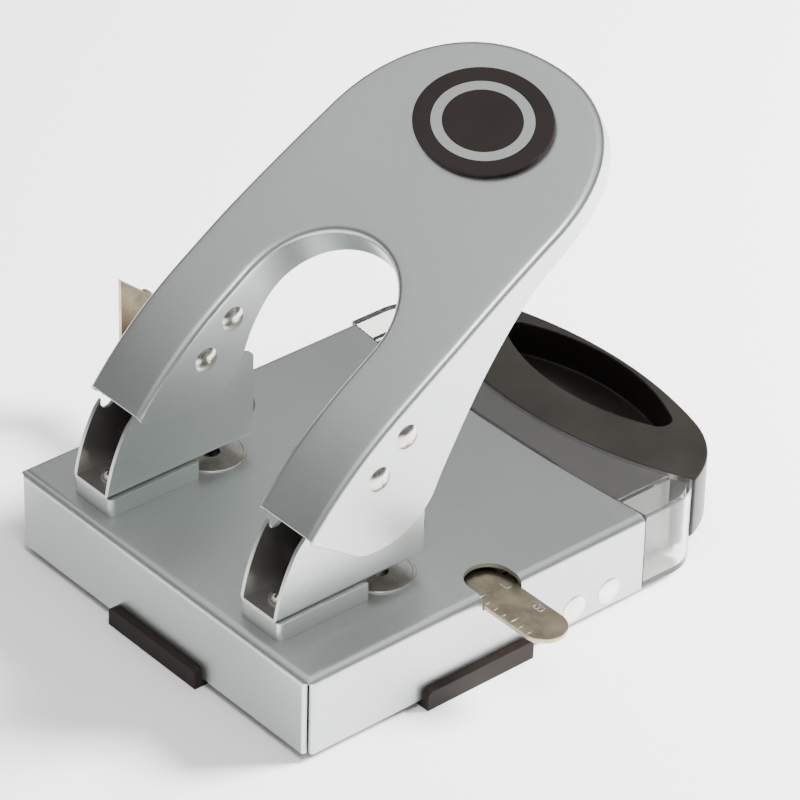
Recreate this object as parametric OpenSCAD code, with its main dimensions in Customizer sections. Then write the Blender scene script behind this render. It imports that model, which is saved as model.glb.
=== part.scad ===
// Two-hole lever punch. +Z is up, X = 0 is the symmetry plane of the punch, Y = 0 is the
// front wall of the base and Z = 0 is the table that the feet stand on. Millimetres.

/* [Base] */
// Width of the folded cover
base_w = 138.7; // [120:0.1:160]
// Length of the cover's sides
base_d = 132.7; // [126:0.1:150]
// Height of the cover
base_h = 27; // [26.4:0.1:34]
// Thickness of the cover's sheet
cover_t = 1.5; // [1:0.1:1.8]
// Outer radius of the cover's folds
fold_r = 3; // [2:0.1:5]
// How deep the back edge of the deck curves in
back_sag = 3.8; // [1:0.1:8]
// Height of the feet under the cover
foot_h = 2.7; // [2:0.1:5]
// How far the edge feet stand proud of the walls
foot_out = 3; // [1:0.1:5]

/* [Punch heads] */
// Distance between the two holes in the paper
hole_pitch = 80; // [78:0.5:84]
// Diameter of the hole in the paper
hole_d = 6; // [5:0.1:6.5]
// Distance of the holes from the front wall
die_y = 51.5; // [50.5:0.1:53]
// Height of the paper slot, which is also the plinth's height
slot_h = 6.1; // [4.5:0.1:8]
// Outer width of a bracket
bracket_w = 16.5; // [15:0.1:17]
// Thickness of the bracket's sheet
bracket_t = 1.3; // [1:0.1:1.8]
// Radius of a die
die_r = 11.4; // [8:0.1:12]

/* [Handle] */
// Distance between the outer faces of the arms at the front
handle_w = 104.4; // [103:0.1:106]
// Distance between the inner faces of the arms
window_w = 56; // [54:0.5:58]
// Thickness of the handle's sheet
handle_t = 1.5; // [1:0.1:1.6]
// Half of the oval thumb pad's width
pad_r = 25.7; // [14:0.1:28]
// How far the handle turns down, in degrees
press_deg = 40; // [20:1:40]

/* [Paper guide] */
// Distance from the middle of the punch to the stop's face
stop_x = 105; // [80:0.5:148.5]
// Overall length of the ruler
ruler_l = 201.6; // [180:0.1:220]
// Width of the ruler
ruler_w = 14.8; // [10:0.1:15]
// Thickness of the ruler
ruler_t = 1.6; // [1:0.1:1.6]

/* [Drawer] */
// Height of the chip bin inside the base
bin_h = 20.4; // [12:0.1:20.4]
// Wall thickness of the clear tray
tray_t = 1.6; // [1.2:0.1:2]

/* [Hidden] */
$fn = 72;
eps = 0.01;
fit = 0.05;
gap = 0.4;
// depth by which a cutter runs past a face
past = 1;

// heights above the table
floor_z = foot_h;
deck_z = floor_z + base_h;
deck_under = deck_z - cover_t;
plinth_top = deck_z + slot_h;
bracket_floor_top = plinth_top + bracket_t;

// punch head
head_x = hole_pitch / 2;
plinth_w = 18.5;
plinth_corner_r = 1.8;
plinth_front = 6;
plinth_back = die_y - 11.8;
bracket_front = 5.3;
bracket_back = die_y + 10.3;
bracket_in = bracket_w / 2 - bracket_t;
screw_ys = [13.2, 31];
screw_r = 2;
screw_head_r = 3.6;
screw_head_h = 2.4;
peep_r = 2.6;
peep_pos = [17.6, 59.4];
die_plate_t = 4;
die_plate_w = 104;
die_sink = 3.5;
punch_r = hole_d / 2;
punch_tip = plinth_top + 0.5;
guide_top = bracket_floor_top + 13.6;

// lever: pivot pin and drive pin in the side view
pin_r = 3;
pin_head_r = 4.1;
pin_head_h = 1.6;
pivot = [40.5, 74.1];
drive = [50.7, 84.6];
ear_r = 8.5;
drive_arm = norm(drive - pivot);
drive_angle = atan2(drive[1] - pivot[1], drive[0] - pivot[0]);
drive_shift = drive_arm * (cos(drive_angle - press_deg) - cos(drive_angle));
slot_play = 0.55;
head_wall = 2.6;
head_bottom = drive[1] - pin_r - slot_play - head_wall;
punch_head_t = 8;

// handle: side profile of its top, two arcs that bend downwards to the front
nose = [14.7, 63.5];
nose_slope = 52.2;
arm_arc_r = 136;
arm_arc_deg = 18.3;
palm_arc_r = 733;
palm_arc_deg = 9.29;
palm_tilt = 28;
tip_r = 50.8;
tip_power = 2.2;
arch_y = 56.5;
arm_w = (handle_w - window_w) / 2;
arm_x = (handle_w + window_w) / 4;
taper_y = 70;
pad_y = 123.9;
pad_t = 1.5;
pad_aspect = 0.73;
pad_ring = [0.575, 0.735];
ring_depth = 0.8;

// paper guide
ruler_y = 74.8;
ruler_z = floor_z + 22.3;
ruler_end = ruler_l - stop_x - ruler_t;
stop_h = 28.4;
channel_l = 108;
channel_t = 1.1;
notch_x = 63.4;
notch_r = 7.7;
leaf_t = 0.4;
leaf_rivet_x = 20.5;
leaf_rivet_r = 1.5;

// drawer
grip_front_y = 142.5;
grip_back_y = 186;
grip_r = 145;
grip_shoulder_x = 42;
grip_corner_r = 34;
tray_back_x = 64.4;
core_w = 113.6;
core_front = 131.6;
bin_w = 117.2;
bin_front = 34;
rail_z = floor_z + 9;
rail_t = 1.2;
rail_ys = [40, 128];
rear_foot_pos = [63, 112];
rear_foot_h = floor_z + 0.2;
rivet_ys = [104.7, 118.8];
rivet_z = floor_z + 5.4;
recess_a = 37;
recess_b = 12;
recess_tip_r = 4;
recess_y = 172;
recess_depth = 12;

// return springs
spring_r = 5;
spring_wire = 0.6;
spring_turns = 6.5;
spring_steps = 16;

// ---------------------------------------------------------------- helpers
// points of an arc about c, from angle a to angle b
function arc(c, r, a, b, n = 16) = [
    for (i = [0:n]) c + r * [cos(a + (b - a) * i / n), sin(a + (b - a) * i / n)]
];

function reverse(v) = [for (i = [len(v) - 1:-1:0]) v[i]];

// all but the first point
function tail(v) = [for (i = [1:len(v) - 1]) v[i]];

// smooth curve through the points p, with n steps between two of them
function through(p, n = 6) =
    let (last = len(p) - 1, q = concat([2 * p[0] - p[1]], p, [2 * p[last] - p[last - 1]]))
    concat(
        [
            for (i = [1:last]) for (j = [0:n - 1])
                let (t = j / n, a = q[i - 1], b = q[i], c = q[i + 1], d = q[i + 2])
                    (2 * b + (c - a) * t + (2 * a - 5 * b + 4 * c - d) * t * t
                        + (3 * b - a - 3 * c + d) * t * t * t) / 2
        ],
        [p[last]]
    );

// draws children, a side view in (Y, Z), as a plate from x0 to x1
module side_plate(x0, x1) {
    translate([x0, 0, 0])
        rotate([90, 0, 90])
            linear_extrude(x1 - x0) children();
}

// cylinder along X from x0 to x1, centred on the side view point p
module x_rod(p, r, x0, x1) {
    translate([x0, p[0], p[1]])
        rotate([0, 90, 0])
            cylinder(r = r, h = x1 - x0);
}

// domed rivet head standing on the plane x = 0 and pointing to +X
module dome(r, h) {
    ball = (r * r + h * h) / (2 * h);
    rotate([0, 90, 0])
        rotate_extrude()
            intersection() {
                translate([0, h - ball]) circle(ball);
                square([r, h]);
            }
}

// rectangle from p to q
module box2(p, q) {
    translate(p) square(q - p);
}

module box3(p, q) {
    translate(p) cube(q - p);
}

// ---------------------------------------------------------------- base cover
// cross-section of the folded cover: width w, height h, top corners of radius r, bottom at -low
module fold_section(w, h, r, low) {
    translate([-w / 2, -low]) square([w, h - r + low]);
    translate([r - w / 2, -low]) square([w - 2 * r, h + low]);
    for (s = [-1, 1]) translate([s * (w / 2 - r), h - r]) circle(r);
}

// solid block under the folded sheet, shrunk by inset at the walls and the deck; it starts low
// below the sheet's lower edge and runs past the back
module cover_block(inset, low) {
    w = base_w - 2 * inset;
    h = base_h - inset;
    r = fold_r - inset;
    long = base_d + 20;
    intersection() {
        translate([0, long, floor_z])
            rotate([90, 0, 0]) linear_extrude(2 * long) fold_section(w, h, r, low);
        translate([0, inset, floor_z])
            side_plate(-base_w, base_w)
                union() {
                    translate([0, -low]) square([long, h - r + low]);
                    translate([r, -low]) square([long, h + low]);
                    translate([r, h - r]) circle(r);
                }
    }
}

// slot at a front corner, seen from above with the corner at the origin and the walls along +X
// and +Y; both walls end in a rounded lip
module corner_gap() {
    lip_r = 1;
    reach = 2.9;
    lip = arc([reach, lip_r], lip_r, 270, 180, 6);
    polygon(concat(
        [[-past, -past], [reach, -past]],
        lip,
        [[reach - lip_r, reach - lip_r]],
        [for (p = reverse(lip)) [p[1], p[0]]],
        [[-past, reach]]
    ));
}

// the corner slot as a cutter, with a round top
module corner_cutter() {
    arch_r = 2.1;
    arch_z = floor_z + 23.7;
    intersection() {
        linear_extrude(deck_z + past) corner_gap();
        rotate([90, 0, -45]) translate([0, 0, -10]) linear_extrude(20) {
            translate([-arch_r, 0]) square([2 * arch_r, arch_z]);
            translate([0, arch_z]) circle(arch_r);
        }
    }
}

// removes all that lies behind the concave back edge, moved back by extra
module back_curve(extra = 0) {
    back_r = (pow(base_w / 2, 2) + back_sag * back_sag) / (2 * back_sag);
    translate([0, base_d - back_sag + back_r + extra, -10])
        cylinder(r = back_r, h = deck_z + 20, $fn = 360);
}

module base_cover() {
    wall_x = base_w / 2;
    color("#a9b0ad")
    difference() {
        cover_block(0, 0);
        cover_block(cover_t, past);
        back_curve();
        // slots where the front wall meets the side walls
        for (k = [0, 1]) mirror([k, 0, 0]) translate([wall_x, 0, 0]) rotate([0, 0, 90]) corner_cutter();
        // die seats and holes for the screws and rivets in the deck
        for (s = [-1, 1]) translate([s * head_x, 0, deck_under - past]) {
            translate([0, die_y, 0]) cylinder(r = die_r + fit, h = cover_t + 2 * past);
            for (y = screw_ys) translate([0, y, 0]) cylinder(r = screw_r + 0.15, h = cover_t + 2 * past);
        }
        for (s = [-1, 1]) translate([s * leaf_rivet_x, ruler_y, deck_under - past])
            cylinder(r = leaf_rivet_r + fit, h = cover_t + 2 * past);
        // half-round notch over the ruler, and the slots in the side walls for it
        translate([notch_x, ruler_y, ruler_z - gap]) {
            cylinder(r = notch_r, h = 20);
            translate([0, -notch_r, 0]) cube([20, 2 * notch_r, 20]);
        }
        translate([-wall_x - 5, ruler_y - ruler_w / 2 - gap, ruler_z - gap])
            cube([10, ruler_w + 2 * gap, ruler_t + 2 * gap]);
        for (s = [-1, 1], y = rivet_ys)
            x_rod([y, rivet_z], screw_r + fit, s * wall_x - 4, s * wall_x + 4);
    }
}

// ---------------------------------------------------------------- feet
// rubber foot of length l that grips the lower edge of a wall; the wall's outer face is y = 0
module edge_foot() {
    l = 42;
    inner_lip = 3;
    top = floor_z + 4;
    end_r = 2;
    deep = foot_out + cover_t + inner_lip;
    difference() {
        translate([0, deep - foot_out, 0]) rotate([90, 0, 0]) linear_extrude(deep) {
            translate([-l / 2, 0]) square([l, top - end_r]);
            translate([end_r - l / 2, 0]) square([l - 2 * end_r, top]);
            for (s = [-1, 1]) translate([s * (l / 2 - end_r), top - end_r]) circle(end_r);
        }
        translate([-l, 0, floor_z]) cube([2 * l, cover_t, top]);
    }
}

module front_foot() {
    color("#2b2420") edge_foot();
}

module side_foot(s) {
    mid_y = 65;
    color("#2b2420")
        translate([s * base_w / 2, mid_y, 0]) rotate([0, 0, s * 90]) edge_foot();
}

// round feet under the tabs of the drawer rails
module rear_feet() {
    foot_r = 3.4;
    color("#2b2420")
        for (s = [-1, 1]) translate([s * rear_foot_pos[0], rear_foot_pos[1], 0])
            cylinder(r = foot_r, h = rear_foot_h);
}

// ---------------------------------------------------------------- drawer rails
// angle on the side wall that carries the drawer; its rear half reaches down to a tab for a foot
module rail(s) {
    wall_in = base_w / 2 - cover_t;
    web_in = wall_in - rail_t;
    shelf_in = 61;
    low = floor_z + 4.6;
    rear_low = floor_z + 1.2;
    rear_front = 90;
    tab_in = rear_foot_pos[0] - 3.8;
    color("#8d9190")
    mirror([s < 0 ? 1 : 0, 0, 0])
    difference() {
        union() {
            box3([web_in, rail_ys[0], low], [wall_in, rail_ys[1], rail_z + rail_t]);
            box3([web_in, rear_front, rear_low], [wall_in, rail_ys[1], rail_z]);
            box3([shelf_in, rail_ys[0], rail_z], [wall_in, rail_ys[1], rail_z + rail_t]);
            box3(
                [tab_in, rear_foot_pos[1] - 8, rear_foot_h],
                [wall_in, rear_foot_pos[1] + 8, rear_foot_h + rail_t]
            );
        }
        for (y = rivet_ys) x_rod([y, rivet_z], screw_r + fit, web_in - past, wall_in + past);
    }
}

// rivets with a flat domed head outside and a set head inside
module rail_rivets() {
    head_r = 4.65;
    head_h = 0.9;
    tail_r = 3;
    tail_h = 0.8;
    wall = base_w / 2;
    web_in = wall - cover_t - rail_t;
    color("#cfcabb")
        for (s = [0, 1], y = rivet_ys) mirror([s, 0, 0]) {
            translate([wall, y, rivet_z]) dome(head_r, head_h);
            x_rod([y, rivet_z], screw_r, web_in, wall + eps);
            x_rod([y, rivet_z], tail_r, web_in - tail_h, web_in);
        }
}

// ---------------------------------------------------------------- punch heads
// bar under the deck that carries the dies; the screws end in it
module die_plate() {
    ys = [8, 62];
    color("#7f8382")
    difference() {
        box3(
            [-die_plate_w / 2, ys[0], deck_under - die_plate_t],
            [die_plate_w / 2, ys[1], deck_under]
        );
        for (s = [-1, 1]) translate([s * head_x, 0, 0]) {
            translate([0, die_y, deck_z - die_sink]) cylinder(r = die_r + fit, h = die_sink);
            translate([0, die_y, 0]) cylinder(r = punch_r + 1, h = deck_z);
            for (y = screw_ys) translate([0, y, 0]) cylinder(r = screw_r + fit, h = deck_z);
        }
    }
}

// block under a bracket that sets the height of the paper slot; its front corners are round
module plinth(s) {
    r = plinth_corner_r;
    half = plinth_w / 2;
    color("#a9b0ad")
    translate([s * head_x, 0, deck_z])
    difference() {
        linear_extrude(slot_h) {
            box2([-half, plinth_front + r], [half, plinth_back]);
            box2([r - half, plinth_front], [half - r, plinth_back]);
            for (k = [-1, 1]) translate([k * (half - r), plinth_front + r]) circle(r);
        }
        for (y = screw_ys) translate([0, y, -past])
            cylinder(r = screw_r + 0.15, h = slot_h + 2 * past);
    }
}

// side view of a bracket wall: curved front edge, round ear at the pivot, sloped top at the back
module bracket_wall() {
    front_r = 60;
    start = 8;
    turn = 23;
    start_pt = [bracket_front, plinth_top];
    front_c = start_pt + front_r * [cos(start), -sin(start)];
    knee = [26.4, 73.0];
    back_top = 67;
    corner_r = 2.2;
    corner_c = [bracket_back - corner_r, back_top - corner_r];
    polygon(concat(
        arc(front_c, front_r, 180 - start, 180 - start - turn),
        [knee],
        arc(pivot, ear_r, 130, -25, 24),
        arc(corner_c, corner_r, 75, 0, 6),
        [[bracket_back, plinth_top]]
    ));
}

// U of folded sheet that holds the lever's pin and the punch's guide
module bracket(s) {
    bend = 2;
    color("#a9b0ad")
    translate([s * head_x, 0, 0])
    difference() {
        intersection() {
            side_plate(-bracket_w / 2, bracket_w / 2) bracket_wall();
            // round folds along the lower edges
            translate([0, 100, 0]) rotate([90, 0, 0]) linear_extrude(100) {
                box2([-bracket_w / 2, plinth_top + bend], [bracket_w / 2, 120]);
                box2([bend - bracket_w / 2, plinth_top], [bracket_w / 2 - bend, 120]);
                for (k = [-1, 1])
                    translate([k * (bracket_w / 2 - bend), plinth_top + bend]) circle(bend);
            }
        }
        box3([-bracket_in, 0, bracket_floor_top], [bracket_in, 100, 120]);
        x_rod(pivot, pin_r + fit, -bracket_w, bracket_w);
        // peep hole, in the left wall alone
        x_rod(peep_pos, peep_r, -bracket_w, 0);
        translate([0, die_y, 0]) cylinder(r = punch_r + 0.6, h = guide_top);
        for (y = screw_ys) translate([0, y, 0]) cylinder(r = screw_r + 0.15, h = guide_top);
    }
}

// pan-head screws with a cross slot
module bracket_screws() {
    cross_l = 4.4;
    cross_w = 0.9;
    cross_z = 1;
    cross_turn = 20;
    shank = slot_h + bracket_t + cover_t + die_plate_t;
    color("#c9c6bf")
    for (s = [-1, 1], y = screw_ys) translate([s * head_x, y, bracket_floor_top]) {
        difference() {
            rotate([0, -90, 0]) dome(screw_head_r, screw_head_h);
            for (a = [0, 90]) rotate([0, 0, a + cross_turn])
                translate([-cross_l / 2, -cross_w / 2, cross_z]) cube([cross_l, cross_w, screw_head_h]);
        }
        translate([0, 0, -shank]) cylinder(r = screw_r, h = shank + eps);
    }
}

// hardened disc with a raised rim; its hole is a running fit on the punch
module die(s) {
    rim_w = 1.2;
    rim_up = 0.5;
    face_up = 0.2;
    color("#b9b6ae")
    translate([s * head_x, die_y, deck_z - die_sink])
    difference() {
        cylinder(r = die_r, h = die_sink + rim_up);
        translate([0, 0, die_sink + face_up]) cylinder(r = die_r - rim_w, h = past);
        translate([0, 0, -past]) cylinder(r = punch_r + fit, h = die_sink + 2 * past);
    }
}

// moulded guide between the bracket walls, with a rounded nose at the back
module punch_guide(s) {
    half = bracket_in - 0.2;
    front = die_y - 7;
    back = die_y + 7.5;
    nose_r = 5.5;
    nose_z = bracket_floor_top + 7.6;
    color("#3a3836")
    translate([s * head_x, 0, 0])
    difference() {
        union() {
            box3([-half, front, bracket_floor_top], [half, back, guide_top]);
            x_rod([back, nose_z], nose_r, 1 - half, half - 1);
        }
        translate([0, die_y, 0]) cylinder(r = punch_r + fit, h = guide_top + past);
    }
}

// ---------------------------------------------------------------- punches and springs
// oval outline of the punch head's slot, grown by g
module slot_outline(g) {
    r = pin_r + g;
    for (y = [0, drive_shift]) translate([drive[0] + y, drive[1]]) circle(r);
    box2([drive[0], drive[1] - r], [drive[0] + drive_shift, drive[1] + r]);
}

// round punch with a flat head; the drive pin runs in the head's slot
module punch(s) {
    tip_hollow_r = 4;
    tip_hollow_z = punch_tip - 3;
    color("#9a9a98")
    translate([s * head_x, 0, 0])
    difference() {
        union() {
            translate([0, die_y, punch_tip])
                cylinder(r = punch_r, h = head_bottom - punch_tip + head_wall / 2);
            side_plate(-punch_head_t / 2, punch_head_t / 2) slot_outline(slot_play + head_wall);
        }
        side_plate(-punch_head_t, punch_head_t) slot_outline(slot_play);
        // hollow cutting tip
        x_rod([die_y, tip_hollow_z], tip_hollow_r, -punch_head_t, punch_head_t);
    }
}

// one ring of the spring's wire at step i
function wire_ring(i, z0, pitch, sides) = let (a = 360 * i / spring_steps) [
    for (k = [0:sides - 1])
        let (b = 360 * k / sides, r = spring_r + spring_wire * cos(b))
            [r * cos(a), r * sin(a), z0 + pitch * i / spring_steps + spring_wire * sin(b)]
];

// coil between the punch guide and the punch head
module spring(s) {
    sides = 6;
    end_gap = 0.1;
    steps = spring_turns * spring_steps;
    z0 = guide_top + spring_wire + end_gap;
    pitch = (head_bottom - guide_top - 2 * (spring_wire + end_gap)) / spring_turns;
    rings = [for (i = [0:steps]) wire_ring(i, z0, pitch, sides)];
    points = [for (ring = rings) for (p = ring) p];
    walls = [
        for (i = [0:steps - 1]) for (k = [0:sides - 1])
            let (a = i * sides + k, b = i * sides + (k + 1) % sides)
                for (f = [[a, a + sides, b], [b, a + sides, b + sides]]) f
    ];
    first = [for (k = [0:sides - 1]) k];
    last = [for (k = [sides - 1:-1:0]) steps * sides + k];
    color("#8f8f8c")
        translate([s * head_x, die_y, 0]) polyhedron(points, concat([first], walls, [last]));
}

// ---------------------------------------------------------------- handle
// points of the side profile of the handle's top, lowered by drop
function top_line(drop = 0) =
    let (
        c1 = nose + arm_arc_r * [sin(nose_slope), -cos(nose_slope)],
        a1 = 90 + nose_slope,
        r1 = arm_arc_r - drop,
        c2 = c1 + (arm_arc_r - palm_arc_r) * [cos(a1 - arm_arc_deg), sin(a1 - arm_arc_deg)],
        a2 = a1 - arm_arc_deg,
        r2 = palm_arc_r - drop
    )
    concat(arc(c1, r1, a1, a2, 12), tail(arc(c2, r2, a2, a2 - palm_arc_deg, 14)));

// height of the handle's top at distance y from the front wall, on the palm arc
palm_angle = 90 + nose_slope - arm_arc_deg;
arm_centre = nose + arm_arc_r * [sin(nose_slope), -cos(nose_slope)];
palm_centre = arm_centre + (arm_arc_r - palm_arc_r) * [cos(palm_angle), sin(palm_angle)];
function palm_z(y) = palm_centre[1] + sqrt(pow(palm_arc_r, 2) - pow(y - palm_centre[0], 2));

// distance along the palm's tilted plane of a point of the side view
function along(p) = p[0] * cos(palm_tilt) + p[1] * sin(palm_tilt);

tip_pt = top_line()[len(top_line()) - 1];
tip_s = along(tip_pt);
nose_s = along(nose);
arch_s = along([arch_y, palm_z(arch_y)]);
taper_s = along([taper_y, palm_z(taper_y)]);
nose_cut = nose_s - 60;

// outline of the handle seen square to the palm, drawn inside by inset
module outline(inset) {
    a = tip_r - inset;
    tip_n = 40;
    tip_arc = [
        for (i = [0:tip_n])
            let (t = 180 * i / tip_n, c = cos(t), q = sin(t))
                [sign(c) * a * pow(abs(c), 2 / tip_power), tip_s - tip_r + a * pow(q, 2 / tip_power)]
    ];
    w = handle_w / 2 - inset;
    polygon(concat([[w, nose_cut], [w, taper_s]], tip_arc, [[-w, taper_s], [-w, nose_cut]]));
}

// window between the arms, grown by grow
module window_outline(grow) {
    w = window_w / 2 + grow;
    translate([0, arch_s]) circle(w);
    box2([-w, nose_cut - past], [w, arch_s]);
}

// extrudes children, drawn in (X, distance along the palm), square to the palm
module palm_prism() {
    rotate([palm_tilt, 0, 0]) translate([0, 0, -80]) linear_extrude(260) children();
}

// all that lies below the handle's top surface, cut off squarely at the nose
module under_top(drop) {
    line = top_line(drop);
    last = line[len(line) - 1];
    side_plate(-60, 60)
        polygon(concat([[line[0][0], 0]], line, [last + [20, 10], [last[0] + 20, 0]]));
}

// everything above the flange's lower edge, in the side view
module above_edge(edge, x0, x1) {
    side_plate(x0, x1)
        polygon(concat(edge, [[180, 200], [nose[0] - 5, 200], [nose[0] - 5, edge[0][1]]]));
}

module handle() {
    // lower edges of the outer and the inner flange, front to back
    outer_edge = through([
        [nose[0], 61], [20, 56.2], [28, 51], [39, 48.5], [51, 50.4], [60, 57.7], [66, 69],
        [80, 92.4], [96.4, 111.8], [109, 121], [123, 129.5], [150, 142.6], [175, 153.7]
    ]);
    inner_edge = through([
        [nose[0], 61.3], [24, 59.5], [34.5, 58.6], [43, 58.9], [49.5, 62], [54, 68.5],
        [58.5, 79], [66, 89.2], [80, 102.2], [100, 117]
    ]);
    color("#a4aba8")
    difference() {
        union() {
            // pressed plate
            intersection() {
                palm_prism() difference() {
                    outline(0);
                    window_outline(0);
                }
                side_plate(-60, 60) polygon(concat(top_line(), reverse(top_line(handle_t))));
            }
            // flange along the outer outline
            intersection() {
                palm_prism() difference() {
                    outline(0);
                    outline(handle_t);
                }
                under_top(handle_t / 2);
                above_edge(outer_edge, -60, 60);
            }
            // flange round the window
            intersection() {
                palm_prism() difference() {
                    window_outline(handle_t);
                    window_outline(0);
                }
                under_top(handle_t / 2);
                above_edge(inner_edge, -60, 60);
            }
        }
        for (p = [pivot, drive]) x_rod(p, pin_r + 0.02, -60, 60);
    }
}

// pin through both flanges of an arm, with a domed head on each side
module arm_pin(s, p) {
    half = arm_w / 2;
    color("#b8b0a0")
    translate([s * arm_x, p[0], p[1]]) {
        x_rod([0, 0], pin_r, -half, half);
        for (k = [0, 1]) mirror([k, 0, 0]) translate([half, 0, 0]) dome(pin_head_r, pin_head_h);
    }
}

// rings that keep each arm centred on its bracket
module pivot_spacers() {
    ring_r = 5.5;
    near = bracket_w / 2 + 0.15;
    far = arm_w / 2 - handle_t - 0.05;
    color("#b0b0ac")
    for (s = [-1, 1], k = [0, 1])
        translate([s * arm_x, 0, 0]) mirror([k, 0, 0]) difference() {
            x_rod(pivot, ring_r, near, far);
            x_rod(pivot, pin_r + fit, near - past, far + past);
        }
}

// draws children at the pad's place, with their plane touching the palm
module on_palm() {
    slope = asin((palm_centre[0] - pad_y) / palm_arc_r);
    translate([0, pad_y, palm_z(pad_y)]) rotate([slope, 0, 0]) children();
}

// oval with half-width r
module oval(r) {
    scale([1, pad_aspect]) circle(r);
}

module pad_ring_outline() {
    difference() {
        oval(pad_ring[1] * pad_r);
        oval(pad_ring[0] * pad_r);
    }
}

// oval pad stuck on the palm, with a groove for the ring
module thumb_pad() {
    color("#33261f")
    difference() {
        on_palm() difference() {
            translate([0, 0, -pad_t]) linear_extrude(2 * pad_t) oval(pad_r);
            translate([0, 0, pad_t - ring_depth]) linear_extrude(pad_t) pad_ring_outline();
        }
        under_top(0);
    }
}

module thumb_pad_ring() {
    color("#c4cac6")
        on_palm() translate([0, 0, pad_t - ring_depth]) linear_extrude(ring_depth) pad_ring_outline();
}

// ---------------------------------------------------------------- paper guide
// channel under the deck in which the ruler slides
module guide_channel() {
    half = ruler_w / 2 + gap;
    low = ruler_z - 0.3 - channel_t;
    lip = 3;
    color("#8d9190")
    translate([-channel_l / 2, ruler_y, 0]) difference() {
        union() {
            box3([0, -half - channel_t, low], [channel_l, half + channel_t, deck_under]);
            box3([0, -half - lip, deck_under - channel_t], [channel_l, half + lip, deck_under]);
        }
        box3([-past, -half, low + channel_t], [channel_l + past, half, deck_under + past]);
    }
}

// bowed leaf that presses on the ruler; its flat ends are riveted under the deck
module guide_spring() {
    leaf_w = 8;
    bow_half = 16;
    end_x = leaf_rivet_x + 3.5;
    low = ruler_z + ruler_t + 0.2;
    sag = deck_under - leaf_t - low;
    bow_r = (bow_half * bow_half + sag * sag) / (2 * sag);
    bow_a = asin(bow_half / bow_r);
    color("#9b9b97")
    difference() {
        translate([0, ruler_y + leaf_w / 2, 0]) rotate([90, 0, 0]) linear_extrude(leaf_w)
            polygon(concat(
                [[-end_x, deck_under], [-end_x, deck_under - leaf_t]],
                arc([0, low + bow_r], bow_r, 270 - bow_a, 270 + bow_a, 24),
                [[end_x, deck_under - leaf_t], [end_x, deck_under]],
                arc([0, low + bow_r + leaf_t], bow_r, 270 + bow_a, 270 - bow_a, 24)
            ));
        for (s = [-1, 1]) translate([s * leaf_rivet_x, ruler_y, 0])
            cylinder(r = leaf_rivet_r + fit, h = deck_z);
    }
}

// rivets through the deck that hold the ends of the leaf
module spring_rivets() {
    head_r = 5.5;
    head_h = 0.9;
    tail_r = 2.4;
    tail_h = 0.6;
    tail_z = deck_under - leaf_t - tail_h;
    color("#a9b0ad")
    for (s = [-1, 1]) translate([s * leaf_rivet_x, ruler_y, 0]) {
        translate([0, 0, deck_z]) rotate([0, -90, 0]) dome(head_r, head_h);
        translate([0, 0, tail_z]) cylinder(r = leaf_rivet_r, h = deck_z - tail_z + eps);
        translate([0, 0, tail_z]) cylinder(r = tail_r, h = tail_h);
    }
}

// flat ruler with a round end; its other end is turned up as the stop for the paper
module paper_guide() {
    half = ruler_w / 2;
    left = -stop_x - ruler_t;
    bend_r = 1;
    bend_x = left + ruler_t + bend_r;
    bend_z = ruler_z + ruler_t + bend_r;
    high = ruler_z + stop_h;
    rear_top = high - 0.27 * stop_h;
    rear = half - 1.7;
    round_r = 4;
    color("#b3a897")
    translate([0, ruler_y, 0]) {
        // strip
        translate([0, 0, ruler_z]) {
            box3([bend_x, -half, 0], [ruler_end - half, half, ruler_t]);
            translate([ruler_end - half, 0, 0]) cylinder(r = half, h = ruler_t);
        }
        // round fold at the foot of the stop
        translate([bend_x, half, bend_z]) rotate([90, 0, 0]) linear_extrude(ruler_w)
            intersection() {
                difference() {
                    circle(ruler_t + bend_r);
                    circle(bend_r);
                }
                box2([-ruler_w, -ruler_w], [0, 0]);
            }
        // upturned stop with a sloped top edge
        side_plate(left, left + ruler_t) {
            polygon([
                [-half, bend_z], [half, bend_z], [half, ruler_z + 6], [rear, ruler_z + 12],
                [rear, rear_top - round_r], [rear - round_r, rear_top], [-half, high]
            ]);
            translate([rear - round_r, rear_top - round_r]) circle(round_r);
        }
    }
}

// ---------------------------------------------------------------- drawer
// half of the grip's outline on +X: the back arc, then the corner down to the front arc
function grip_back_half() =
    let (
        a = asin(grip_shoulder_x / grip_r),
        back_c = [0, grip_back_y - grip_r],
        corner_c = back_c + (grip_r - grip_corner_r) * [sin(a), cos(a)],
        end_a = acos((tray_back_x - corner_c[0]) / grip_corner_r)
    )
    concat(arc(corner_c, grip_corner_r, end_a, 90 - a, 10), tail(arc(back_c, grip_r, 90 - a, 90, 10)));

// points of the grip's front arc from +x to -x, moved back by inset
function grip_front_arc(x, inset = 0) =
    let (c = [0, grip_front_y + grip_r], r = grip_r - inset, a = asin(x / r))
        arc(c, r, 270 - a, 270 + a, 24);

// mirrored points in reverse order, without the one on the symmetry plane
function flip(pts) = [for (i = [len(pts) - 2:-1:0]) [-pts[i][0], pts[i][1]]];

module grip_outline() {
    half = grip_back_half();
    front = grip_front_arc(tray_back_x);
    polygon(concat(half, flip(half), [for (i = [1:len(front) - 2]) front[i]]));
}

// finger recess: a lens with rounded ends
module recess_outline() {
    a = recess_a - recess_tip_r;
    b = recess_b;
    lens_r = (a * a + b * b - recess_tip_r * recess_tip_r) / (2 * (b - recess_tip_r));
    end_x = lens_r * a / (lens_r - recess_tip_r);
    intersection() {
        translate([0, lens_r - b]) circle(lens_r, $fn = 180);
        translate([0, b - lens_r]) circle(lens_r, $fn = 180);
        square([2 * end_x, 4 * b], center = true);
    }
    for (s = [-1, 1]) translate([s * a, 0]) circle(recess_tip_r);
}

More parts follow.
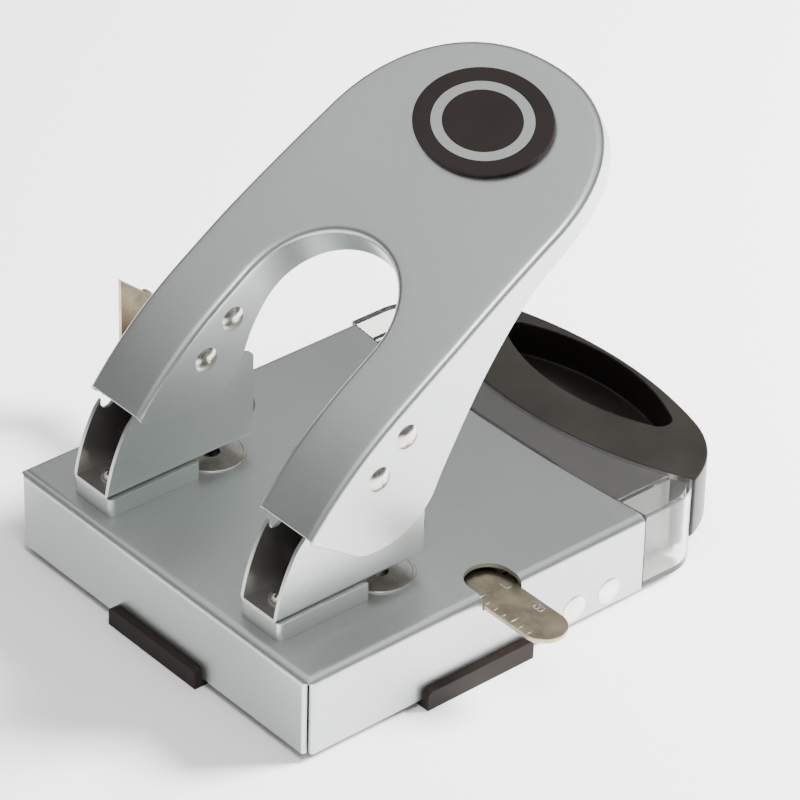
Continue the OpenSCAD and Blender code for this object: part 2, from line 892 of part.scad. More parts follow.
// black grip with a finger recess and a block that plugs into the clear tray
module drawer_grip() {
    bottom_h = 6;
    bottom_scale = 0.93;
    mid_y = 166;
    play = 0.15;
    core_top = deck_z - tray_t - play;
    color("#1f1c1a")
    difference() {
        union() {
            translate([0, 0, floor_z + bottom_h]) linear_extrude(base_h - bottom_h) grip_outline();
            hull() {
                translate([0, 0, floor_z + bottom_h]) linear_extrude(eps) grip_outline();
                translate([0, mid_y, floor_z]) scale(bottom_scale) translate([0, -mid_y, 0])
                    linear_extrude(eps) grip_outline();
            }
            intersection() {
                box3([-core_w / 2, core_front, floor_z + tray_t + play], [core_w / 2, mid_y, core_top]);
                translate([0, 0, floor_z]) linear_extrude(base_h)
                    polygon(concat(grip_front_arc(tray_back_x), [[80, 120], [-80, 120]]));
            }
        }
        translate([0, recess_y, deck_z - recess_depth]) linear_extrude(deck_z) recess_outline();
    }
}

// outline of the clear end of the tray, drawn inside by inset
module tray_end_outline(inset) {
    x = base_w / 2 - inset;
    corner_r = 14;
    corner_y = 146;
    corner_deg = 48;
    play = 0.15;
    front = base_d - back_sag - 1;
    half = arc([x - corner_r + inset, corner_y], corner_r - inset, 0, corner_deg, 8);
    back = grip_front_arc(tray_back_x - 2 * play - inset, -inset - play);
    polygon(concat(
        [[-x, front], [x, front]],
        half,
        reverse(back),
        [for (p = reverse(half)) [-p[0], p[1]]]
    ));
}

// clear tray: a bin for the chips inside the base and a hollow end flush with the cover
module chip_tray() {
    low = floor_z;
    core = core_w / 2 + 0.2;
    side_in = base_w / 2 - tray_t;
    bin_half = bin_w / 2;
    bin_back = 140;
    far_back = grip_back_y;
    ledge_out = 66.2;
    ledge_z = rail_z + rail_t + 0.3;
    color("#d9dedc", 0.6)
    difference() {
        union() {
            // clear end, flush with the cover
            intersection() {
                translate([0, 0, low]) linear_extrude(base_h) tray_end_outline(0);
                back_curve(gap);
            }
            // bin inside the base
            box3([-bin_half, bin_front, low], [bin_half, bin_back, low + bin_h]);
            // ledges that ride on the rails
            for (s = [0, 1]) mirror([s, 0, 0])
                box3([bin_half - 1, rail_ys[0] + 1, ledge_z], [ledge_out, rail_ys[1], ledge_z + tray_t]);
        }
        // room for the grip's block
        box3([-core, core_front - gap, low + tray_t], [core, far_back, deck_z - tray_t]);
        // room for the chips
        box3(
            [tray_t - bin_half, bin_front + tray_t, low + tray_t],
            [bin_half - tray_t, core_front - 2, low + bin_h + past]
        );
        // hollow corners
        for (s = [0, 1]) mirror([s, 0, 0])
            intersection() {
                box3(
                    [core + tray_t, rail_ys[1] - past, low + tray_t],
                    [side_in, far_back, deck_z - tray_t]
                );
                translate([0, 0, low]) linear_extrude(base_h) tray_end_outline(tray_t);
            }
    }
}

base_cover();
die_plate();
plinth(-1);  // left_plinth
plinth(1);  // right_plinth
bracket(-1);  // left_bracket
bracket(1);  // right_bracket
bracket_screws();
die(-1);  // left_die
die(1);  // right_die
punch_guide(-1);  // left_punch_guide
punch_guide(1);  // right_punch_guide
front_foot();
side_foot(-1);  // left_foot
side_foot(1);  // right_foot
rear_feet();
rail(-1);  // left_rail
rail(1);  // right_rail
rail_rivets();
guide_channel();
guide_spring();
spring_rivets();
handle();
arm_pin(-1, pivot);  // left_pivot_pin
arm_pin(1, pivot);  // right_pivot_pin
arm_pin(-1, drive);  // left_drive_pin
arm_pin(1, drive);  // right_drive_pin
pivot_spacers();
thumb_pad();
thumb_pad_ring();
punch(-1);  // left_punch
punch(1);  // right_punch
spring(-1);  // left_spring
spring(1);  // right_spring
paper_guide();
chip_tray();
drawer_grip();
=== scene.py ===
"""Looks of the two-hole lever punch: refined shells, nickel parts, clear drawer, light and camera."""
import math

import bmesh
import bpy
import numpy as np
from mathutils import Matrix, Vector
from mathutils.geometry import delaunay_2d_cdt


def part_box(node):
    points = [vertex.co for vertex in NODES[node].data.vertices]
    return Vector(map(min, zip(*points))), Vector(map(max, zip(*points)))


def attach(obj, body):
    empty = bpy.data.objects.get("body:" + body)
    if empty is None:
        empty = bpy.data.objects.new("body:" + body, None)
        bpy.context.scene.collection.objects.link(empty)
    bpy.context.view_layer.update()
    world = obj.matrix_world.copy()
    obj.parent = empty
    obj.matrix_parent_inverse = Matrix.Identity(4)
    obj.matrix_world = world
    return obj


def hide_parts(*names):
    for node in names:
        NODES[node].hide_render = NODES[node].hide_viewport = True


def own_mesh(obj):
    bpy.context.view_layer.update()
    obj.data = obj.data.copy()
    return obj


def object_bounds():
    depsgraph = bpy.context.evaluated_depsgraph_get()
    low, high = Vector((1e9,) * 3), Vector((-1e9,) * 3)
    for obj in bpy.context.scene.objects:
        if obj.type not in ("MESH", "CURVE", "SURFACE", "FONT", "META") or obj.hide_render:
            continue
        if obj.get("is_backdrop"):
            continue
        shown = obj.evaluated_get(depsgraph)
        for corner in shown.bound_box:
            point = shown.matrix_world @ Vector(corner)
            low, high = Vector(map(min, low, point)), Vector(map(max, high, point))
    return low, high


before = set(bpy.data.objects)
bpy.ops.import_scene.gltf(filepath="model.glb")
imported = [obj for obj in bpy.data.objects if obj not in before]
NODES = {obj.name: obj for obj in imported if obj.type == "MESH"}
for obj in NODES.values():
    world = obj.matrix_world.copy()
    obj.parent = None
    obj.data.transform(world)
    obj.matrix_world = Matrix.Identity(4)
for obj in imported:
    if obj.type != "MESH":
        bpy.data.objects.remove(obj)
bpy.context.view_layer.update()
MM = 0.001

# ---------------------------------------------------------------- sizes shared with the CAD, in mm
# NOSE is (y, z) at the front of the arms; the arcs are (radius, turn in degrees) along the top
FOOT_H = 2.7
HANDLE_W = 104.4
WINDOW_W = 56.0
SHEET_T = 1.5
NOSE = (14.7, 63.5)
NOSE_SLOPE = 52.2
ARM_ARC = (136.0, 18.3)
PALM_ARC = (733.0, 9.29)
PALM_TILT = 28.0
TIP_R = 50.8
TIP_POWER = 2.2
ARCH_Y = 56.5
TAPER_Y = 70.0
OUTER_EDGE = [
    (14.7, 61), (20, 56.2), (28, 51), (39, 48.5), (51, 50.4), (60, 57.7), (66, 69),
    (80, 92.4), (96.4, 111.8), (109, 121), (123, 129.5), (150, 142.6), (175, 153.7),
]
INNER_EDGE = [
    (14.7, 61.3), (24, 59.5), (34.5, 58.6), (43, 58.9), (49.5, 62), (54, 68.5),
    (58.5, 79), (66, 89.2), (80, 102.2), (100, 117),
]
HEAD_X = 40.0
BRACKET_W = 16.5
BRACKET_T = 1.3
RULER_Y = 74.8
RULER_HALF = 7.4
RULER_TOP = FOOT_H + 22.3 + 1.6


# ---------------------------------------------------------------- materials
class Shader:
    """Small helper round one node material."""

    def __init__(self, name):
        self.mat = bpy.data.materials.new(name)
        self.mat.use_nodes = True
        self.tree = self.mat.node_tree
        self.bsdf = self.tree.nodes["Principled BSDF"]
        self.coords = self.tree.nodes.new("ShaderNodeTexCoord")

    def set(self, **values):
        """Sets sockets of the shader by name, with _ for a space."""
        for key, value in values.items():
            self.bsdf.inputs[key.replace("_", " ")].default_value = value
        return self

    def node(self, kind, **inputs):
        made = self.tree.nodes.new(kind)
        for key, value in inputs.items():
            made.inputs[key.replace("_", " ")].default_value = value
        return made

    def link(self, a, b):
        self.tree.links.new(a, b)

    def noise(self, scale, detail, rough, stretch=(1, 1, 1)):
        """Noise that is fixed to the object."""
        mapping = self.node("ShaderNodeMapping")
        mapping.inputs["Scale"].default_value = stretch
        self.link(self.coords.outputs["Object"], mapping.inputs["Vector"])
        tex = self.node("ShaderNodeTexNoise", Scale=scale, Detail=detail, Roughness=rough)
        self.link(mapping.outputs["Vector"], tex.inputs["Vector"])
        return tex.outputs["Fac"]

    def color(self, fac, low, high):
        """Colours from low to high, as fac goes from 0.3 to 0.7."""
        ramp = self.node("ShaderNodeValToRGB")
        for element, position, color in zip(ramp.color_ramp.elements, (0.3, 0.7), (low, high)):
            element.position = position
            element.color = (*color, 1)
        self.link(fac, ramp.inputs["Fac"])
        self.link(ramp.outputs["Color"], self.bsdf.inputs["Base Color"])

    def rough(self, fac, low, high):
        """Roughness from low to high, as fac goes from 0 to 1."""
        scaled = self.node("ShaderNodeMapRange", To_Min=low, To_Max=high)
        self.link(fac, scaled.inputs["Value"])
        self.link(scaled.outputs["Result"], self.bsdf.inputs["Roughness"])

    def bump(self, *layers):
        """Layers are (height, strength, distance in metres)."""
        last = None
        for height, strength, distance in layers:
            bump = self.node("ShaderNodeBump", Strength=strength, Distance=distance)
            self.link(height, bump.inputs["Height"])
            if last is not None:
                self.link(last, bump.inputs["Normal"])
            last = bump.outputs["Normal"]
        self.link(last, self.bsdf.inputs["Normal"])


def grey(v, tint=(1, 1, 1)):
    """A grey of value v, tinted."""
    return tuple(v * t for t in tint)


def metallic_paint(name, tone, tint, inside=False):
    """Silver lacquer: metal flakes under a faint orange peel."""
    s = Shader(name).set(Metallic=0.98, Coat_Weight=0.08, Coat_Roughness=0.2)
    flakes = s.noise(2600, 2, 0.6)
    clouds = s.noise(14, 4, 0.55)
    mix = s.node("ShaderNodeMix")
    mix.inputs["Factor"].default_value = 0.35
    s.link(flakes, mix.inputs["A"])
    s.link(clouds, mix.inputs["B"])
    s.color(mix.outputs["Result"], grey(tone * 0.86, tint), grey(tone * 1.1, tint))
    s.rough(clouds, 0.32, 0.40)
    s.bump((s.noise(420, 2, 0.5), 0.16, 0.00012), (flakes, 0.05, 0.00003))
    # painted shade on the faces between the bracket walls
    if inside:
        shade_between_bracket_walls(s)
    return s.mat


def shade_between_bracket_walls(s):
    """Painted shade: darkens the paint between the walls of the brackets, where shade falls."""
    axes = s.node("ShaderNodeSeparateXYZ")
    s.link(s.coords.outputs["Object"], axes.inputs["Vector"])
    side = s.node("ShaderNodeMath")
    side.operation = "ABSOLUTE"
    s.link(axes.outputs["X"], side.inputs[0])
    near = s.node("ShaderNodeMath")
    near.operation = "COMPARE"
    near.inputs[1].default_value = HEAD_X * MM
    near.inputs[2].default_value = (BRACKET_W / 2 - BRACKET_T + 0.2) * MM
    s.link(side.outputs[0], near.inputs[0])
    mix = s.node("ShaderNodeMix")
    mix.data_type = "RGBA"
    painted = s.bsdf.inputs["Base Color"].links[0].from_socket
    s.link(near.outputs[0], mix.inputs["Factor"])
    s.link(painted, mix.inputs[6])
    # the painted shade colour for the inner faces of the bracket walls
    mix.inputs[7].default_value = (0.46, 0.45, 0.43, 1)
    s.link(mix.outputs[2], s.bsdf.inputs["Base Color"])


def nickel(name, tone, tint, low, high, grain=1.0, dark=0.8):
    """Plated or bare bright metal; low and high are its roughness, grain its unevenness."""
    s = Shader(name).set(Metallic=1.0)
    fine = s.noise(700, 4, 0.65)
    broad = s.noise(160, 3, 0.6)
    s.color(broad, grey(tone * dark, tint), grey(tone * 1.08, tint))
    s.rough(fine, low, high)
    s.bump((fine, 0.18 * grain, 0.00008), (broad, 0.2 * grain, 0.0002))
    return s.mat


def brushed(name, tone, stretch=(1, 60, 60)):
    """Metal with lines ground along the axis that is stretched least."""
    s = Shader(name).set(Metallic=1.0)
    lines = s.noise(60, 5, 0.6, stretch)
    s.color(lines, grey(tone * 0.8), grey(tone * 1.1))
    s.rough(lines, 0.3, 0.48)
    s.bump((lines, 0.12, 0.00005))
    return s.mat


def moulded(name, low, high, rough_low, rough_high, peel=0.15, spec=0.5):
    """Plastic or rubber with blotches between two colours and a fine texture."""
    s = Shader(name).set(Specular_IOR_Level=spec)
    blotch = s.noise(40, 4, 0.6)
    texture = s.noise(900, 3, 0.6)
    s.color(blotch, low, high)
    s.rough(blotch, rough_low, rough_high)
    s.bump((texture, peel, 0.00008))
    return s.mat


def clear_plastic(name):
    """Clear moulded plastic with a little haze."""
    s = Shader(name).set(
        Base_Color=(0.96, 0.955, 0.93, 1), IOR=1.5, Transmission_Weight=0.99
    )
    haze = s.noise(60, 4, 0.6)
    s.rough(haze, 0.04, 0.14)
    s.bump((s.noise(130, 2, 0.5), 0.08, 0.0002))
    return s.mat


PAINT_TONE = 0.57
PAINT_TINT = (0.945, 1.0, 0.975)
PAINT = metallic_paint("silver_paint", PAINT_TONE, PAINT_TINT)
BRACKET_PAINT = metallic_paint("bracket_paint", PAINT_TONE, PAINT_TINT, inside=True)
HANDLE_PAINT = metallic_paint("handle_paint", PAINT_TONE, PAINT_TINT)
NICKEL = nickel("nickel_rivets", 0.62, (1.0, 0.95, 0.88), 0.16, 0.34, 1.6)
GUIDE_NICKEL = nickel("nickel_strip", 0.54, (1.0, 0.83, 0.6), 0.22, 0.42, 2.2, 0.6)
DIE_NICKEL = nickel("nickel_die", 0.72, (1.0, 0.97, 0.92), 0.24, 0.34, 0.12)
RIVET_ALLOY = nickel("rivet_alloy", 0.93, (1.0, 0.975, 0.87), 0.3, 0.42, 0.4)
STEEL = brushed("ground_steel", 0.45)
ZINC = brushed("zinc_sheet", 0.42, (8, 1, 8))
NYLON = moulded("guide_nylon", (0.03, 0.03, 0.028), (0.05, 0.05, 0.046), 0.45, 0.6)
RUBBER = moulded(
    "foot_rubber", (0.009, 0.0062, 0.005), (0.018, 0.013, 0.0105), 0.55, 0.75, peel=0.4, spec=0.25
)
BLACK = moulded(
    "black_plastic", (0.0085, 0.0076, 0.0066), (0.014, 0.0126, 0.011), 0.26, 0.36, peel=0.1, spec=0.24
)
PAD_BROWN = moulded(
    "pad_brown", (0.0075, 0.0046, 0.004), (0.012, 0.007, 0.006), 0.3, 0.4, peel=0.1, spec=0.3
)
SCALE = nickel("scale_lines", 0.95, (1.0, 0.98, 0.93), 0.3, 0.4, 0.3)
PAD_SILVER = metallic_paint("pad_silver", 0.54, (0.945, 1.0, 0.97))
CLEAR = clear_plastic("clear_plastic")

LOOKS = {
    PAINT: ["base_cover", "left_plinth", "right_plinth", "spring_rivets"],
    BRACKET_PAINT: ["left_bracket", "right_bracket"],
    HANDLE_PAINT: ["handle"],
    NICKEL: ["bracket_screws", "left_pivot_pin", "right_pivot_pin", "left_drive_pin",
             "right_drive_pin"],
    DIE_NICKEL: ["left_die", "right_die"],
    GUIDE_NICKEL: ["paper_guide"],
    RIVET_ALLOY: ["rail_rivets"],
    STEEL: ["left_punch", "right_punch", "guide_spring", "die_plate", "left_spring",
            "right_spring"],
    ZINC: ["left_rail", "right_rail", "guide_channel", "pivot_spacers"],
    NYLON: ["left_punch_guide", "right_punch_guide"],
    RUBBER: ["front_foot", "left_foot", "right_foot", "rear_feet"],
    PAD_BROWN: ["thumb_pad"],
    PAD_SILVER: ["thumb_pad_ring"],
    CLEAR: ["chip_tray"],
    BLACK: ["drawer_grip"],
}


def paint_nodes():
    """Gives every CAD node its material."""
    for material, names in LOOKS.items():
        for name in names:
            slots = NODES[name].material_slots
            if not slots:
                NODES[name].data.materials.append(material)
            for slot in slots:
                slot.material = material


def weld(obj):
    """Joins a CAD node's doubled points and shades it smoothly."""
    obj.modifiers.new("weld", "WELD").merge_threshold = 0.000005
    for poly in obj.data.polygons:
        poly.use_smooth = True


def round_edges(obj, width, angle):
    """Rounds the edges that are sharper than the angle; the flats keep their shading."""
    bevel = obj.modifiers.new("bevel", "BEVEL")
    bevel.width = width * MM
    bevel.segments = 2
    bevel.limit_method = "ANGLE"
    bevel.angle_limit = math.radians(angle)
    bevel.harden_normals = True
    obj.modifiers.new("normals", "WEIGHTED_NORMAL").keep_sharp = True


def soften(obj, width):
    """Rounds the sharp edges of a CAD node a little."""
    weld(obj)
    flat = obj.modifiers.new("flat", "DECIMATE")
    flat.decimate_type = "DISSOLVE"
    flat.angle_limit = math.radians(0.4)
    round_edges(obj, width, 35)


def split_smooth(obj):
    """Smooth shading with the sharp edges kept."""
    weld(obj)
    obj.modifiers.new("split", "EDGE_SPLIT").split_angle = math.radians(30)


# ---------------------------------------------------------------- mesh helpers
def mesh_object(name, verts, faces, material, body):
    """A smooth mesh object from points in mm; doubled points are joined."""
    bm = bmesh.new()
    made = [bm.verts.new(Vector(v) * MM) for v in verts]
    for face in faces:
        corners = [made[i] for i in face]
        if len(set(corners)) > 2:
            try:
                bm.faces.new(corners)
            except ValueError:
                pass
    bmesh.ops.remove_doubles(bm, verts=bm.verts, dist=0.00002)
    loose = [v for v in bm.verts if not v.link_faces]
    bmesh.ops.delete(bm, geom=loose, context="VERTS")
    bmesh.ops.recalc_face_normals(bm, faces=bm.faces)
    for face in bm.faces:
        face.smooth = True
    mesh = bpy.data.meshes.new(name)
    bm.to_mesh(mesh)
    bm.free()
    obj = bpy.data.objects.new(name, mesh)
    bpy.context.scene.collection.objects.link(obj)
    obj.data.materials.append(material)
    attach(obj, body)
    return obj


def arc(centre, r, a, b, n):
    """Points of an arc from angle a to angle b, in degrees."""
    return [
        (centre[0] + r * math.cos(math.radians(a + (b - a) * i / n)),
         centre[1] + r * math.sin(math.radians(a + (b - a) * i / n)))
        for i in range(n + 1)
    ]


def smooth_through(points, n=12):
    """A smooth curve through the points, as n steps between each two (Catmull-Rom)."""
    p = [np.array(q, float) for q in points]
    p = [2 * p[0] - p[1]] + p + [2 * p[-1] - p[-2]]
    out = []
    for a, b, c, d in zip(p, p[1:], p[2:], p[3:]):
        for i in range(n):
            t = i / n
            out.append(0.5 * (2 * b + (c - a) * t + (2 * a - 5 * b + 4 * c - d) * t * t
                              + (3 * b - a - 3 * c + d) * t ** 3))
    out.append(p[-2])
    return np.array(out)


def resample(points, step):
    """Points at even distances along a polyline, both ends kept."""
    p = np.array(points, float)
    length = np.concatenate([[0], np.cumsum(np.linalg.norm(np.diff(p, axis=0), axis=1))])
    n = max(2, int(round(length[-1] / step)) + 1)
    at = np.linspace(0, length[-1], n)
    return np.column_stack([np.interp(at, length, p[:, k]) for k in range(p.shape[1])])


def normals_left(points):
    """Unit normals to the left of an open polyline."""
    p = np.array(points, float)
    d = np.gradient(p, axis=0)
    d /= np.linalg.norm(d, axis=1)[:, None]
    return np.column_stack([-d[:, 1], d[:, 0]])


def inside(loop, q):
    """Whether 2D points lie inside a closed loop."""
    hit = np.zeros(len(q), bool)
    for (x0, y0), (x1, y1) in zip(loop, np.roll(loop, -1, axis=0)):
        if y0 == y1:
            continue
        cross = (q[:, 1] < max(y0, y1)) & (q[:, 1] >= min(y0, y1))
        x = x0 + (q[:, 1] - y0) * (x1 - x0) / (y1 - y0)
        hit ^= cross & (q[:, 0] < x)
    return hit


def fill_region(border, step):
    """Triangles inside a flat closed loop, with inner points on a grid: (points, faces)."""
    n = len(border)
    edges = [(i, (i + 1) % n) for i in range(n)]
    lo, hi = border.min(0), border.max(0)
    xs = np.arange(lo[0] + step / 2, hi[0], step)
    ys = np.arange(lo[1] + step / 2, hi[1], step)
    grid = np.array([(x, y) for x in xs for y in ys])
    grid = grid[inside(border, grid)]
    nearest = 0.45 * step
    far = [np.min(np.sum((border - g) ** 2, axis=1)) > nearest ** 2 for g in grid]
    points = [tuple(p) for p in border] + [tuple(g) for g, ok in zip(grid, far) if ok]
    verts, _, faces, _, _, _ = delaunay_2d_cdt([Vector(p) for p in points], edges, [], 0, 1e-6)
    verts = np.array([tuple(v) for v in verts])
    centres = np.array([verts[list(f)].mean(0) for f in faces])
    return verts, [f for f, ok in zip(faces, inside(border, centres)) if ok]


def strips(rings, start):
    """Quads between rows of equally many points; start is the index of the first point."""
    n = len(rings[0])
    faces = []
    for k in range(len(rings) - 1):
        for i in range(n - 1):
            a = start + k * n + i
            faces.append((a, a + 1, a + n + 1, a + n))
    return faces


# ---------------------------------------------------------------- handle
class Palm:
    """The handle's top: x across, s along the palm, d square down from the surface."""

    def __init__(self):
        a = math.radians(PALM_TILT)
        self.u = np.array([math.cos(a), math.sin(a)])
        self.n = np.array([-math.sin(a), math.cos(a)])
        slope = math.radians(NOSE_SLOPE)
        c1 = np.array(NOSE) + ARM_ARC[0] * np.array([math.sin(slope), -math.cos(slope)])
        a1 = 90 + NOSE_SLOPE
        a2 = a1 - ARM_ARC[1]
        turn = math.radians(a2)
        c2 = c1 + (ARM_ARC[0] - PALM_ARC[0]) * np.array([math.cos(turn), math.sin(turn)])
        line = arc(c1, ARM_ARC[0], a1, a2, 40)
        line += arc(c2, PALM_ARC[0], a2, a2 - PALM_ARC[1], 60)[1:]
        self.top = np.array(line)
        self.s = self.top @ self.u
        self.h = self.top @ self.n

    def height(self, s):
        return np.interp(s, self.s, self.h)

    def point(self, x, s, d):
        q = s * self.u + (self.height(s) - d) * self.n
        return (x, q[0], q[1])

    def side(self, p):
        """(s, height) of points (y, z) seen from the side."""
        return np.array(p, float) @ self.u, np.array(p, float) @ self.n

    def s_over(self, y):
        """The s of the point on the top at this y."""
        return self.side((y, float(np.interp(y, self.top[:, 0], self.top[:, 1]))))[0]


def handle_shell():
    """The pressed handle: curved plate, round folds and a skirt of changing depth."""
    palm = Palm()
    fold = 2.2
    fold_steps = 6
    skirt_steps = 5
    s0, s_tip = palm.s[0], palm.s[-1]
    arch_s = palm.s_over(ARCH_Y)
    taper_s = palm.s_over(TAPER_Y)
    w = HANDLE_W / 2
    tip = []
    tip_steps = 72
    for i in range(tip_steps + 1):
        t = math.pi * i / tip_steps
        c, q = math.cos(t), math.sin(t)
        x = math.copysign(TIP_R * abs(c) ** (2 / TIP_POWER), c)
        tip.append((x, s_tip - TIP_R + TIP_R * q ** (2 / TIP_POWER)))
    side = smooth_through([(w, s0), (w, taper_s - 12), (w - 0.25, taper_s + 4), tip[0]], 8)
    outer = list(side[:-1]) + tip + [(-x, s) for x, s in side[::-1][1:]]
    outer = resample(outer, 2.2)
    v = WINDOW_W / 2
    window = [(v, s0)] + arc((0, arch_s), v, 0, 180, 48) + [(-v, s0)]
    window = resample(window, 2.0)

    verts, faces = [], []

    def skirt(line, inward, edge):
        """Fold and skirt along one outline; inward points to the plate's side."""
        low = smooth_through(edge)
        es, eh = palm.side(low)
        order = np.argsort(es)
        depth_at = palm.height(line[:, 1]) - np.interp(line[:, 1], es[order], eh[order])
        # the sheet's front end is cut square to the arm
        depth_at = np.minimum(depth_at, fold + 2.3 * (line[:, 1] - s0))
        rings = []
        for k in range(fold_steps + 1):
            phi = math.pi / 2 * k / fold_steps
            q = line + inward * fold * (1 - math.sin(phi))
            drop = fold * (1 - math.cos(phi))
            drop_at = np.minimum(drop, depth_at)
            rings.append([palm.point(x, s, d) for (x, s), d in zip(q, drop_at)])
        for k in range(1, skirt_steps + 1):
            d = fold + (np.maximum(depth_at, fold + 0.02) - fold) * k / skirt_steps
            d = np.where(depth_at < fold, depth_at, d)
            rings.append([palm.point(x, s, e) for (x, s), e in zip(line, d)])
        start = len(verts)
        for ring in rings:
            verts.extend(ring)
        faces.extend(strips(rings, start))
        return line + inward * fold

    rim_out = skirt(outer, normals_left(outer), OUTER_EDGE)
    rim_in = skirt(window, -normals_left(window), INNER_EDGE)
    # both rims run from +x to -x: the loop goes along the outside and back along the window
    loop = np.vstack([rim_out, rim_in[::-1]])
    flat, tris = fill_region(loop, step=4.5)
    start = len(verts)
    verts.extend(palm.point(x, s, 0) for x, s in flat)
    faces.extend(tuple(start + i for i in f) for f in tris)
    obj = mesh_object("handle_shell", verts, faces, HANDLE_PAINT, "lever")
    solid = obj.modifiers.new("sheet", "SOLIDIFY")
    solid.thickness = SHEET_T * MM
    solid.offset = -1
    solid.use_even_offset = True
    round_edges(obj, 0.25, 50)
    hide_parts("handle")


# ---------------------------------------------------------------- return springs
def return_spring(side):
    """Round-wire coil between the punch guide and the punch head."""
    node = f"{side}_spring"
    lo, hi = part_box(node)
    lo, hi = lo / MM, hi / MM
    wire, turns, per_turn, sides = 0.6, 6.5, 32, 10
    r = (hi.x - lo.x) / 2 - wire
    cx, cy = (lo.x + hi.x) / 2, (lo.y + hi.y) / 2
    z0, z1 = lo.z + wire, hi.z - wire
    steps = int(turns * per_turn)
    verts = []
    for i in range(steps + 1):
        a = 2 * math.pi * i / per_turn
        z = z0 + (z1 - z0) * i / steps
        for k in range(sides):
            b = 2 * math.pi * k / sides
            q = r + wire * math.cos(b)
            verts.append((cx + q * math.cos(a), cy + q * math.sin(a), z + wire * math.sin(b)))
    faces = []
    for i in range(steps):
        for k in range(sides):
            a, b = i * sides + k, i * sides + (k + 1) % sides
            faces.append((a, a + sides, b + sides, b))
    faces.append(tuple(range(sides)))
    faces.append(tuple(steps * sides + k for k in reversed(range(sides))))
    obj = mesh_object(f"{side}_return_spring", verts, faces, STEEL, "base")
    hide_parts(node)
    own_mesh(obj)


# ---------------------------------------------------------------- scale on the ruler
# digits of seven bars; a bar is ((u, v), (u, v)), with u across the digit and v up it
SEGMENTS = {"4": "fgbc", "5": "afgcd", "6": "afgedc", "7": "abc", "8": "abcdefg"}
BARS = {
    "a": ((0, 2), (1, 2)), "b": ((1, 1), (1, 2)), "c": ((1, 0), (1, 1)), "d": ((0, 0), (1, 0)),
    "e": ((0, 0), (0, 1)), "f": ((0, 1), (0, 2)), "g": ((0, 1), (1, 1)),
}


def ruler_scale():
    """Ticks from the ruler's front edge and a plain number at each long one."""
    line, raised = 0.42, 0.05
    first_x, spacing, ticks = 14.0, 3.7, 21
    long_every, first_long = 4, 2
    digit_w, bar_h = 2.1, 1.7
    front = RULER_Y - RULER_HALF + 0.6
    boxes = []
    for i in range(ticks):
        x = first_x + spacing * i
        length = 5.4 if i % long_every == first_long else 2.6
        boxes.append((x - line / 2, front, x + line / 2, front + length))
    for n, digit in enumerate("45678"):
        x = first_x + spacing * (long_every * n + first_long) - bar_h
        y = RULER_Y + 5.6
        for bar in SEGMENTS[digit]:
            (u0, v0), (u1, v1) = BARS[bar]
            xs = (x + bar_h * v0, x + bar_h * v1)
            ys = (y - digit_w * u0, y - digit_w * u1)
            boxes.append((min(xs) - line / 2, min(ys) - line / 2,
                          max(xs) + line / 2, max(ys) + line / 2))
    verts, faces = [], []
    for x0, y0, x1, y1 in boxes:
        start = len(verts)
        for z in (RULER_TOP - raised, RULER_TOP + raised):
            verts += [(x0, y0, z), (x1, y0, z), (x1, y1, z), (x0, y1, z)]
        for f in ((3, 2, 1, 0), (4, 5, 6, 7), (0, 1, 5, 4), (1, 2, 6, 5), (2, 3, 7, 6), (3, 0, 4, 7)):
            faces.append(tuple(start + k for k in f))
    obj = mesh_object("ruler_scale", verts, faces, SCALE, "guide")


# ---------------------------------------------------------------- stage, light, camera
SKY_LOW = 0.14
SKY_HIGH = 1.5
LIGHT_DISTANCE = 1.5


def direction(azimuth, elevation):
    """Unit vector from the object; azimuth 0 is the front (-Y) and 90 the right (+X)."""
    a, e = math.radians(azimuth), math.radians(elevation)
    return Vector((math.sin(a) * math.cos(e), -math.cos(a) * math.cos(e), math.sin(e)))


def make_stage():
    """A pale floor, and a sky that brightens from the horizon to straight above."""
    floor = Shader("floor").set(Base_Color=(0.9, 0.9, 0.9, 1), Roughness=0.8).mat
    bpy.ops.mesh.primitive_plane_add(size=6, location=(0, 0, 0))
    plane = bpy.context.active_object
    plane.name = "floor"
    plane.data.materials.append(floor)
    plane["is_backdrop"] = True
    world = bpy.data.worlds.new("studio")
    bpy.context.scene.world = world
    world.use_nodes = True
    tree = world.node_tree
    back = tree.nodes["Background"]
    coords = tree.nodes.new("ShaderNodeTexCoord")
    axes = tree.nodes.new("ShaderNodeSeparateXYZ")
    tree.links.new(coords.outputs["Generated"], axes.inputs["Vector"])
    rise = tree.nodes.new("ShaderNodeMapRange")
    rise.interpolation_type = "SMOOTHSTEP"
    rise.inputs["From Min"].default_value = 0.38
    rise.inputs["From Max"].default_value = 0.98
    rise.inputs["To Min"].default_value = SKY_LOW
    rise.inputs["To Max"].default_value = SKY_HIGH
    tree.links.new(axes.outputs["Z"], rise.inputs["Value"])
    back.inputs["Color"].default_value = (1, 1, 1, 1)
    tree.links.new(rise.outputs["Result"], back.inputs["Strength"])


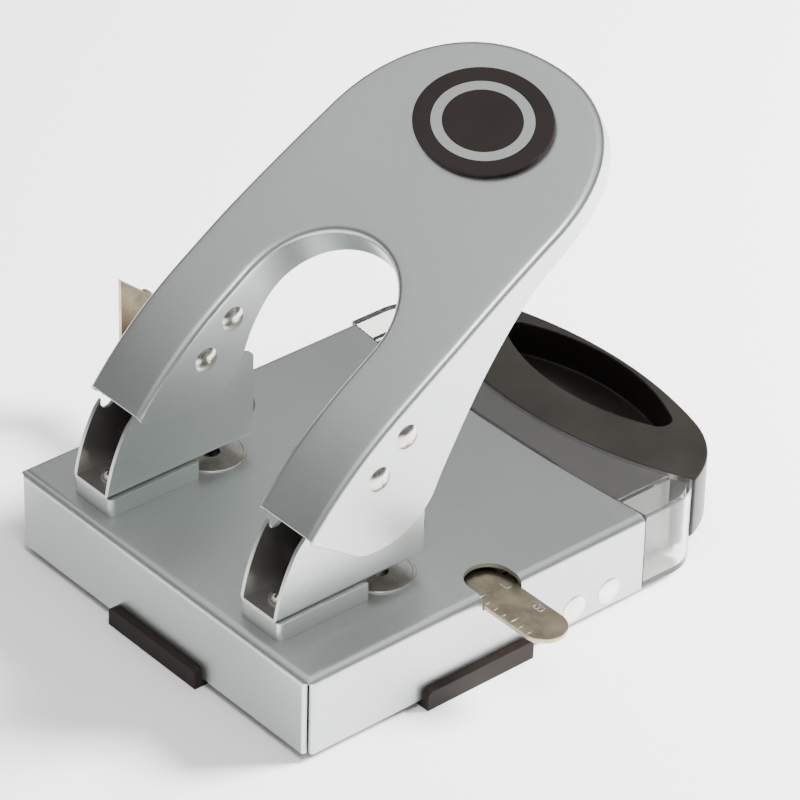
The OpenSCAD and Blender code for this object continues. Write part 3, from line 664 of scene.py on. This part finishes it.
def softbox(name, azimuth, elevation, size, power, mirrored=True):
    """Square area light that looks at the middle of the object; mirrored lets metal reflect it."""
    lo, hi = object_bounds()
    centre = (lo + hi) / 2
    away = direction(azimuth, elevation)
    data = bpy.data.lights.new(name, "AREA")
    data.size = size
    data.energy = power
    lamp = bpy.data.objects.new(name, data)
    lamp.location = centre + away * LIGHT_DISTANCE
    lamp.rotation_euler = (-away).to_track_quat("-Z", "Y").to_euler()
    lamp.visible_glossy = mirrored
    bpy.context.scene.collection.objects.link(lamp)


def make_camera():
    """A long lens from the front right, a little above."""
    azimuth, elevation, roll = 48.62, 33.84, 1.55
    aim = Vector((10.5, 84.2, 61.6)) * MM
    distance = 1.4
    data = bpy.data.cameras.new("camera")
    data.sensor_width = 36
    data.lens = 209.4
    cam = bpy.data.objects.new("camera", data)
    bpy.context.scene.collection.objects.link(cam)
    back = direction(azimuth, elevation)
    cam.location = aim + back * distance
    look = (-back).to_track_quat("-Z", "Y").to_matrix().to_4x4()
    cam.rotation_euler = (look @ Matrix.Rotation(math.radians(roll), 4, "Z")).to_euler()
    bpy.context.scene.camera = cam


make_camera()
make_stage()
# the key lights the floor and all that isn't metal; the edge lamp draws highlights on the folds
softbox("key", 150, 34, 0.5, 150, mirrored=False)
softbox("edge", 60, 66, 0.4, 12)
paint_nodes()
REPLACED = {"handle", "left_spring", "right_spring"}
# how much the edges of a node are rounded, in mm
BEVELS = {
    "left_plinth": 0.35, "right_plinth": 0.35, "left_bracket": 0.3, "right_bracket": 0.3,
    "base_cover": 0.25, "drawer_grip": 0.7, "chip_tray": 0.3, "paper_guide": 0.25,
    "front_foot": 0.3, "left_foot": 0.3, "right_foot": 0.3, "thumb_pad": 0.35,
    "left_die": 0.15, "right_die": 0.15, "rail_rivets": 0.3, "bracket_screws": 0.1,
}
for node_name, node in NODES.items():
    if node_name in BEVELS:
        soften(node, BEVELS[node_name])
    elif node_name not in REPLACED:
        split_smooth(node)
handle_shell()
return_spring("left")
return_spring("right")
ruler_scale()
